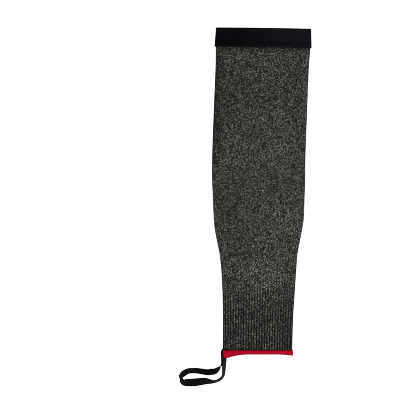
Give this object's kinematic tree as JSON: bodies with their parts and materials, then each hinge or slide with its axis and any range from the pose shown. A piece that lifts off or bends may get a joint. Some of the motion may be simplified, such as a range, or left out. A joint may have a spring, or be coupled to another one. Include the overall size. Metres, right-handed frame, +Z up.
{
  "type": "cut resistant sleeve",
  "caption": "Tapered knitted protective arm sleeve lying flat, with an elastic arm band, a bound cuff hem and a flat elastic thumb loop.",
  "frame": {"origin": "on the underside of the lying sleeve, at half the length, on the centre line", "axes": "+Y along the sleeve from the cuff to the arm band, +Z up from the surface it lies on, -X towards the thumb loop"},
  "size_m": [0.185, 0.5026, 0.0199],
  "materials": {
    "marl_knit": "charcoal and grey marl yarn, plain knit turning to rib at the cuff, matt",
    "elastic_band": "smooth black woven elastic, slightly sheened",
    "hem_binding": "red overlocked stretch binding yarn, matt",
    "loop_elastic": "black flat braided elastic, slightly sheened"
  },
  "bodies": {
    "root": {"knit_sleeve": "marl_knit", "arm_band": "elastic_band", "cuff_hem": "hem_binding", "thumb_loop": "loop_elastic"}
  },
  "joints": []
}
